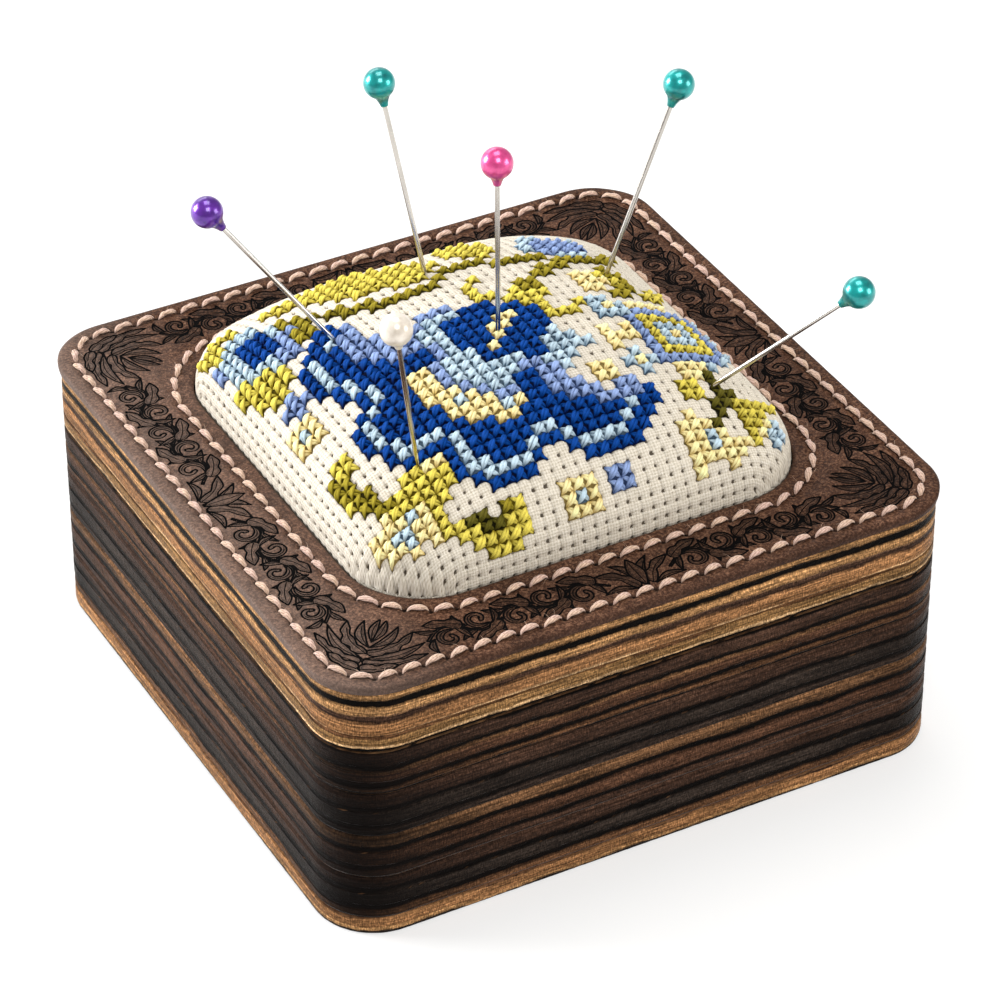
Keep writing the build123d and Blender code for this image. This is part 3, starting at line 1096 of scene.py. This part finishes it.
STITCHED = read_motif()


# ---------- the cloth

# How far the blocks' edges and their holes sink below the cloth's surface, in millimetres
BLOCK_HEIGHT, GUTTER_DEPTH, CLOTH_HOLE_DEPTH, SLUB = 0.02, 0.03, 0.60, 0.012
# How wide a hole and a gutter are, in cells
HOLE_WIDTH, GUTTER_WIDTH = 0.13, 0.10


def weave_lines():
    """The places of the cloth mesh's lines: six to a cell where it shows, few where not."""
    parts = np.array([0, HOLE, 0.30, 0.5, 0.70, 1 - HOLE])
    fine = (np.arange(-EDGE_CELLS, EDGE_CELLS)[:, None] + parts).ravel()
    beyond = np.linspace(EDGE_CELLS, REACH_CELLS, 9)[1:]
    return np.concatenate([-beyond[::-1], fine, [EDGE_CELLS], beyond])


def aida_mesh():
    """Aida cloth stretched over the crown: woven blocks, with a hole between each four."""
    lines = weave_lines()
    count = len(lines)
    s, t = (grid.ravel() for grid in np.meshgrid(lines, lines, indexing="ij"))
    ds, dt = (np.minimum(place - np.floor(place), np.ceil(place) - place) for place in (s, t))
    shown = np.maximum(np.abs(s), np.abs(t)) <= EDGE_CELLS
    hole = np.exp(-((np.hypot(ds, dt) / HOLE_WIDTH) ** 2))
    gutter = np.exp(-((np.minimum(ds, dt) / GUTTER_WIDTH) ** 2))
    local = np.random.default_rng(3)
    slub_s, slub_t = local.normal(0, SLUB, count), local.normal(0, SLUB, count)
    slub = (slub_s[:, None] + slub_t[None]).ravel()
    height = BLOCK_HEIGHT - GUTTER_DEPTH * gutter - CLOTH_HOLE_DEPTH * hole + slub
    points, out = on_cloth(s, t, np.where(shown, height, 0))
    grid = np.arange(count * count).reshape(count, count)
    quads = np.stack([grid[:-1, :-1], grid[1:, :-1], grid[1:, 1:], grid[:-1, 1:]], -1).reshape(-1, 4)
    quads = quads[(out[quads] < SKIRT + HEM + 0.2).all(1)]
    used, quads = np.unique(quads, return_inverse=True)
    mesh = build_mesh("aida_cloth", points[used], quads)
    # painted shade: the cloth under each stitched cell is painted a dark tone of its floss, for the gaps between
    # the stitches
    under = np.tile([*linear(214, 206, 192), 1], (len(s), 1))
    covered = np.zeros(len(s))
    columns, rows = np.floor(s), np.floor(t)
    for (column, row), letter in STITCHED.items():
        inside = (columns == column) & (rows == row)
        under[inside, :3] = linear(*FLOSS[letter][2]) * 0.35
        covered[inside] = 1
    layer = mesh.color_attributes.new("under", "FLOAT_COLOR", "POINT")
    layer.data.foreach_set("color", under[used].astype(np.float32).ravel())
    add_values(mesh, weave=np.stack([s, t, np.zeros_like(s)], -1)[used], covered=covered[used])
    return mesh


def woven(n, across, along, sign):
    """One set of threads, four to a cell, that pass over and under the other set; the value, lighter on a thread's
    crown and where it passes over, is painted shade of the weave as well as its relief.
    """
    k, m = n.times(across, 4.0), n.times(along, 4.0)
    bulge = n.math("POWER", n.math("ABSOLUTE", n.math("SINE", n.times(k, math.pi))), 1.1)
    phase = n.times(n.plus(n.math("SUBTRACT", m, 0.5), n.math("FLOOR", k)), math.pi)
    over = n.line(n.math("COSINE", phase), 0.5 * sign, 0.5)
    return n.times(bulge, n.line(over, 0.7, 0.3))


def aida_material():
    """Cream cotton: over-and-under threads, four to a cell each way, and the square holes."""
    n = Nodes("aida_cotton")
    weave = n.read("weave", "Vector")
    wander = n.noise(weave, 1.3, output="Color")
    moved = n.add("VectorMath", wander, (0.16, 0.16, 0), weave, operation="MULTIPLY_ADD")
    s, t, _ = n.parts(moved.outputs[0])
    # painted shade of the weave: the threads are darker between each other and where they pass under
    threads = n.larger(woven(n, s, t, 1), woven(n, t, s, -1))
    slub_warp = n.noise(weave, (4, 0.9, 1), 3, 0.7)
    slub_weft = n.noise(weave, (0.9, 4, 1), 3, 0.7)
    fluff = n.noise(weave, 5.6, 5, 0.85)
    slubs = n.times(n.plus(slub_warp, slub_weft), 0.5)
    both = n.plus(n.times(threads, 0.23), n.times(slubs, 0.34))
    both = n.plus(both, n.line(fluff, 0.52, -0.03))
    colour = n.ramp(both, [
        (0.30, (128, 114, 92)), (0.45, (190, 180, 162)), (0.60, (218, 210, 196)), (0.75, (236, 231, 222))
    ])
    # painted shade: the holes are painted dark
    plain_s, plain_t, _ = n.parts(weave)
    gap_s = n.times(n.math("PINGPONG", plain_s, 0.5), 1 / 0.125)
    gap_t = n.times(n.math("PINGPONG", plain_t, 0.5), 1 / 0.145)
    gap = n.times(n.larger(gap_s, gap_t), n.line(n.noise(weave, 0.9, 2, 0.6), 1.5, 0.3))
    dark = n.ramp(n.plus(gap, n.line(fluff, 0.9, -0.45)), [(0.75, 1.0), (1.0, 0.0)])
    # the columns of blocks stand a little apart, with painted shade in the gaps between them
    column = n.ramp(n.plus(gap_s, n.line(slub_warp, 1.6, -0.8)), [(0.10, 0.30), (0.60, 0.0)])
    dark = n.larger(dark, column)
    colour = n.mix(n.times(dark, 0.9), colour, (70, 58, 44))
    # stitched cells show the painted shade under the floss
    colour = n.mix(n.read("covered"), colour, n.read("under", "Color"))
    relief = n.math("SUBTRACT", both, n.times(dark, 0.5))
    return n.finish(
        colour, 0.95, n.bump(relief, 0.00022),
        Specular_IOR_Level=0.06, Sheen_Weight=0.03, Sheen_Roughness=0.6,
    )


aida = piece("aida_cloth", aida_mesh(), aida_material(), "lid", "aida_cover")


# ---------- the cross-stitch

# The lower and the upper leg of a stitch: where each end starts and stops across the cell, the
# height of its middle in millimetres, and its half width in cells
LEGS = [(1, 0, 0.20, 0.115), (0, 1, 0.44, 0.125)]
STRAND_SPREAD = 0.105
SUNK = 0.34


def cross_stitches(cells, seed, rings=13, segments=7):
    """Two crossed legs in each cell, each leg of two strands laid side by side."""
    local = np.random.default_rng(seed)
    cells = np.array(cells, float)
    count = len(cells)
    u, turn = np.linspace(0, 1, rings), circle_angles(segments)
    body = np.sin(math.pi * np.clip(u, 0.02, 0.98)) ** 0.55
    points, lays, shades = [], [], []
    for first, last, peak, width in LEGS:
        shade = local.uniform(0, 1, count)
        # painted highlight: the upper leg is painted lighter in its middle, the lower one beside the crossing,
        # where each catches the light
        painted_highlight = np.sin(math.pi * u) if last else 0.72 * np.abs(np.sin(FULL_TURN * u))
        painted_highlight = np.append(np.repeat(painted_highlight, segments), [0, 0])
        for strand in (-1, 1):
            wander = local.normal(0, 0.045, (count, 4))
            start = np.column_stack([wander[:, 0], first + wander[:, 1]])
            end = np.column_stack([1 + wander[:, 2], last + wander[:, 3]])
            side = left_of(unit(end - start))
            peaks = peak + local.normal(0, 0.04, count)
            plump = local.normal(1, 0.10, count)[:, None] * body[None]
            centre = cells[:, None] + start[:, None] + (end - start)[:, None] * u[None, :, None]
            centre = centre + side[:, None] * (strand * STRAND_SPREAD * plump)[..., None]
            wide = (0.035 + width * plump)[..., None] * np.cos(turn)
            tall = (0.05 + 0.165 * plump)[..., None] * np.sin(turn)
            st = centre[:, :, None] + side[:, None, None] * wide[..., None]
            height = (peaks[:, None] + SUNK) * body[None] - SUNK
            shape = np.concatenate([st, (height[..., None] + tall)[..., None]], -1)
            s, t, h = with_ends(shape.reshape(count, -1, 3), segments).reshape(-1, 3).T
            points.append(on_cloth(s, t, h)[0])
            lays.append(fibre_lay(u, turn, local.uniform(0, 90, count)))
            # the shade value: a random tone for each leg, with the painted highlight
            shades.append((0.36 * shade[:, None] + 0.64 * painted_highlight).ravel())
    faces = [repeat_faces(kind, count * 4, rings * segments + 2) for kind in capped_faces(rings, segments)]
    return np.concatenate(points), faces, np.concatenate(lays).reshape(-1, 3), np.concatenate(shades)


def floss_material(name, light, deep):
    """Stranded cotton: fine fibres along each strand, a soft sheen, small changes of tone, and painted light:
    strands lighter on their crests and darker beneath, legs lighter where they catch the light.
    """
    n = Nodes(name)
    lay = n.read("lay", "Vector")
    fibres = n.noise(lay, (3.52, 5.44, 1.6), 4, 0.7)
    # painted light and shade round each strand: lighter on its crest, darker beneath
    painted_crest_shade = n.math("SINE", n.parts(lay)[1])
    mixed = n.plus(n.times(fibres, 0.66), n.times(n.read("shade"), 0.50))
    mixed = n.plus(mixed, n.line(painted_crest_shade, 0.20, -0.17))
    # the brightest and darkest stops carry the painted highlight and shade
    bright = np.minimum(linear(*light) * 1.5 + 0.006, 1)
    colour = n.ramp(mixed, [(0.28, linear(*deep) * 0.3), (0.45, deep), (0.60, light), (0.82, bright)])
    return n.finish(colour, 0.65, n.bump(fibres, 0.00016, 0.9), Specular_IOR_Level=0.06)


for order, (letter, (name, light, deep)) in enumerate(FLOSS.items()):
    name = "floss_" + name
    cells = sorted(cell for cell, used in STITCHED.items() if used == letter)
    points, faces, lay, shade = cross_stitches(cells, 40 + order)
    mesh = build_mesh(name, points, *faces)
    add_values(mesh, lay=lay, shade=shade)
    material = floss_material(name, light, deep)
    piece(name, mesh, material, "lid", "embroidery")


# ---------- the stuffing

def stuffing_pad(room=0.75, top_level=0.985):
    """A fibre pad that fills the cover, a little slack under it, with a flat underside."""
    low, high = span("stuffing")
    half, floor = CLOTH_HALF - room, low[2] + 0.05
    rise = (high[2] - 0.1 - LEATHER_TOP) / top_level
    # from the middle of the underside outwards, up the skirt, and over the crown
    plan = [((CLOTH_HALF - 1.2) * share, CUSHION_CORNER * share, floor) for share in (0.03, 0.4, 0.8)]
    for drop, tuck in ((0.97, 0.5), (0.7, 0), (0.35, 0)):
        plan.append((half - tuck, CUSHION_CORNER - room, LEATHER_TOP - drop * (LEATHER_TOP - low[2])))
    for level in np.linspace(0, top_level, 22):
        plan.append((*crown_section(half, level), LEATHER_TOP + level * rise))
    rows = [at_height(rounded_outline(size, corner, 24, 6), height) for size, corner, height in plan]
    ends = [[0, 0, floor], [0, 0, rows[-1][0, 2] + 0.05]]
    return build_mesh("stuffing_pad", np.concatenate([*rows, ends]), *capped_faces(len(rows), len(rows[0])))


def fibre_material():
    """White polyester fibre."""
    n = Nodes("polyester_fibre")
    fibres = n.noise(n.place(), (1500, 700, 1100), 6, 0.75, 1.5)
    colour = n.ramp(fibres, [(0.3, (196, 192, 184)), (0.7, (238, 236, 230))])
    return n.finish(colour, 0.95, n.bump(fibres, 0.0003, 0.9))


pad = piece("stuffing_pad", stuffing_pad(), fibre_material(), "lid", "stuffing")


# ---------- pins

SHAFT_RADIUS = 0.3
SHAFT_STEPS, BALL_STEPS = 48, 64
POINT_LENGTH = 2.5
POINT_SHARES = (0.08, 0.2, 0.4, 0.6, 0.8, 0.95, 1.0)
# The glued neck under the ball: its radii and heights above the head's lower end
NECK = [(0, 0), (0.34, 0), (0.47, 0.05), (0.52, 0.25), (0.62, 0.6)]
# The angle from the ball's own lower end at which the neck meets it
NECK_MEETS = math.radians(33)
# Each lacquer's colour, its darker clouds and how metallic it is
PEARLS = {
    "purple": ((112, 46, 176), (60, 20, 112), 0.5),
    "teal": ((8, 176, 172), (0, 112, 114), 0.55),
    "pink": ((240, 92, 160), (198, 48, 116), 0.45),
    "white": ((240, 232, 220), (206, 194, 178), 0.2),
}
# The material slot that the record gives each node
SLOTS = {row["node"]: row["material_slot"] for row in frame["record"]["subparts"]}


def pearl(slot, colour, deep, metallic):
    """Pearl lacquer over a plastic ball: cloudy, with a metal-like lustre under a clear coat."""
    n = Nodes(slot)
    tint = n.ramp(n.noise(n.place(), 700, 4, 0.6), [(0.3, deep), (0.7, colour)])
    ripples = n.bump(n.noise(n.place(), 1600, 3, 0.5), 0.00003, 0.5)
    return n.finish(tint, 0.30, ripples, Metallic=metallic, Coat_Weight=0.7, Coat_Roughness=0.08)


def steel():
    """Drawn nickel-plated steel."""
    n = Nodes("nickel_steel")
    drawn = n.noise(n.place(), (300, 300, 60), 3, 0.6)
    colour = n.ramp(drawn, [(0.3, (184, 178, 170)), (0.7, (222, 217, 210))])
    return n.finish(colour, n.line(drawn, 0.1, 0.12), Metallic=1.0)


def lathe(name, centre_line, axis, profile, around):
    """A turned piece: the profile's radii and places along the axis, swept round it."""
    helper = np.array([1.0, 0, 0]) if abs(axis[0]) < 0.8 else np.array([0, 1.0, 0])
    first = np.cross(axis, helper)
    first /= np.linalg.norm(first)
    turn = circle_angles(around)[:, None]
    circle = np.cos(turn) * first + np.sin(turn) * np.cross(axis, first)
    rows = [centre_line + axis * place + circle * radius for radius, place in profile[1:-1]]
    ends = [centre_line + axis * profile[end][1] for end in (0, -1)]
    return build_mesh(name, np.concatenate([*rows, ends]), *capped_faces(len(rows), around))


def node_points(node):
    return np.array([v.co for v in frame["nodes"][node].data.vertices], float) / MM


def make_pin(name, axis):
    """One pin: a drawn shaft with a ground point, and a ball head with a glued neck."""
    shaft, head = node_points("pin_shaft_" + name), node_points("pin_head_" + name)
    axis = np.array(axis) / np.linalg.norm(axis)
    along = shaft @ axis
    low, high = along.min(), along.max()
    centre_line = shaft[along > high - 2].mean(0)
    centre_line = centre_line - axis * (centre_line @ axis)
    profile = [(0, low)]
    profile += [(SHAFT_RADIUS * share**0.8, low + POINT_LENGTH * share) for share in POINT_SHARES]
    profile += [(SHAFT_RADIUS, place) for place in np.linspace(low + 3, high, 24)] + [(0, high)]
    mesh = lathe("shaft_" + name, centre_line, axis, profile, SHAFT_STEPS)
    piece("shaft_" + name, mesh, steel_material, "pin_" + name, "pin_shaft_" + name)
    head_along = head @ axis
    bottom, top = head_along.min(), head_along.max()
    ball = np.linalg.norm(head - centre_line - np.outer(head_along, axis), axis=1).max()
    angles = np.linspace(math.pi - NECK_MEETS, 0, 30)[:-1]
    sphere = [(ball * math.sin(angle), top - ball + ball * math.cos(angle)) for angle in angles]
    neck = [(radius, bottom + height) for radius, height in NECK]
    between = ((neck[-1][0] + sphere[0][0]) / 2 - 0.05, (neck[-1][1] + sphere[0][1]) / 2)
    mesh = lathe("ball_" + name, centre_line, axis, [*neck, between, *sphere, (0, top)], BALL_STEPS)
    slot = SLOTS["pin_head_" + name]
    piece("ball_" + name, mesh, pearls[slot], "pin_" + name, "pin_head_" + name)


pearls = {"pearl_" + name: pearl("pearl_" + name, *look) for name, look in PEARLS.items()}
steel_material = steel()
for joint in frame["joints"]:
    if joint["name"].startswith("pin_"):
        make_pin(joint["child"][len("pin_"):], joint["axis"])


# ---------- floor, light and camera

# The floor in metres: its half width, where it starts to curve up, the curve's radius and steps
FLOOR_HALF, CURVE_START, CURVE_RADIUS, CURVE_STEPS = 1.2, 0.7, 0.5, 24
# The lamps: place and size in metres, power in watts, and colour
LAMPS = {
    "key": ((0.05, 0.15, 0.80), (0.40, 0.40), 2.9, (1.0, 0.99, 0.97)),
    "front": ((-0.15, -0.50, 0.70), (0.35, 0.35), 3.8, (1.0, 0.985, 0.96)),
    "left": ((-0.66, 0.54, 0.30), (0.40, 0.40), 12.0, (0.985, 0.99, 1.0)),
    "right": ((0.62, -0.58, 0.30), (0.40, 0.40), 3.4, (1.0, 0.97, 0.93)),
    "back": ((0.05, 0.85, 0.50), (0.60, 0.30), 1.4, (1.0, 0.99, 0.98)),
}
LAMP_TARGET = Vector((0, 0, 0.03))
WORLD_STRENGTH = 0.30
CAMERA_AZIMUTH = math.radians(-28.442)
CAMERA_ELEVATION = math.radians(35.522)
CAMERA_TARGET = Vector((0, 0, 0.0168))
# How far back the camera stands from its target, and how far it is moved right and up
CAMERA_BACK, CAMERA_RIGHT, CAMERA_UP = 0.5606, 0.00125, 0.00619
CAMERA_LENS = 161.4


def stage_floor():
    """A plain pale floor under the box, curving up far behind it."""
    profile = [(-FLOOR_HALF, 0.0), (CURVE_START, 0.0)]
    for angle in np.linspace(0, math.pi / 2, CURVE_STEPS + 1)[1:]:
        y = CURVE_START + CURVE_RADIUS * math.sin(angle)
        profile.append((y, CURVE_RADIUS * (1 - math.cos(angle))))
    profile.append((1.2, 1.4))
    count = len(profile)
    points = np.array([(x, y, z) for x in (-FLOOR_HALF, FLOOR_HALF) for y, z in profile])
    quads = [(count + i, count + i + 1, i + 1, i) for i in range(count - 1)]
    n = Nodes("floor_paper")
    tint = n.ramp(n.noise(n.place(), (2, 2, 2), 2, 0.55), [(0.3, 0.45), (0.7, 0.465)])
    n.shader.inputs["Emission Color"].default_value = (1, 1, 1, 1)
    material = n.finish(tint, 0.9, Emission_Strength=0.48, Specular_IOR_Level=0.1)
    surface("floor", build_mesh("floor", points / MM, quads), material)


def softbox(name, place, size, energy, colour):
    """A large soft lamp aimed at the object."""
    data = bpy.data.lights.new(name, "AREA")
    data.shape = "RECTANGLE"
    data.size, data.size_y = size
    data.energy = energy
    data.color = colour
    lamp = link(name, data)
    lamp.location = place
    lamp.rotation_euler = (LAMP_TARGET - Vector(place)).to_track_quat("-Z", "Y").to_euler()


def place_camera():
    """The camera, at the photograph's angle and distance."""
    data = bpy.data.cameras.new("camera")
    data.lens = CAMERA_LENS
    data.sensor_width = 36
    camera = link("camera", data)
    level = math.cos(CAMERA_ELEVATION)
    back = Vector((
        math.sin(CAMERA_AZIMUTH) * level, -math.cos(CAMERA_AZIMUTH) * level, math.sin(CAMERA_ELEVATION)
    ))
    right = Vector((math.cos(CAMERA_AZIMUTH), math.sin(CAMERA_AZIMUTH), 0))
    up = back.cross(right)
    camera.location = CAMERA_TARGET + back * CAMERA_BACK + right * CAMERA_RIGHT + up * CAMERA_UP
    camera.rotation_mode = "QUATERNION"
    camera.rotation_quaternion = (-back).to_track_quat("-Z", "Y")
    bpy.context.scene.camera = camera


stage_floor()
for name, facts in LAMPS.items():
    softbox(name, *facts)
world = bpy.data.worlds.new("studio")
bpy.context.scene.world = world
world.use_nodes = True
world.node_tree.nodes["Background"].inputs["Color"].default_value = (1, 1, 1, 1)
world.node_tree.nodes["Background"].inputs["Strength"].default_value = WORLD_STRENGTH
bpy.context.scene.view_settings.view_transform = "Standard"
place_camera()
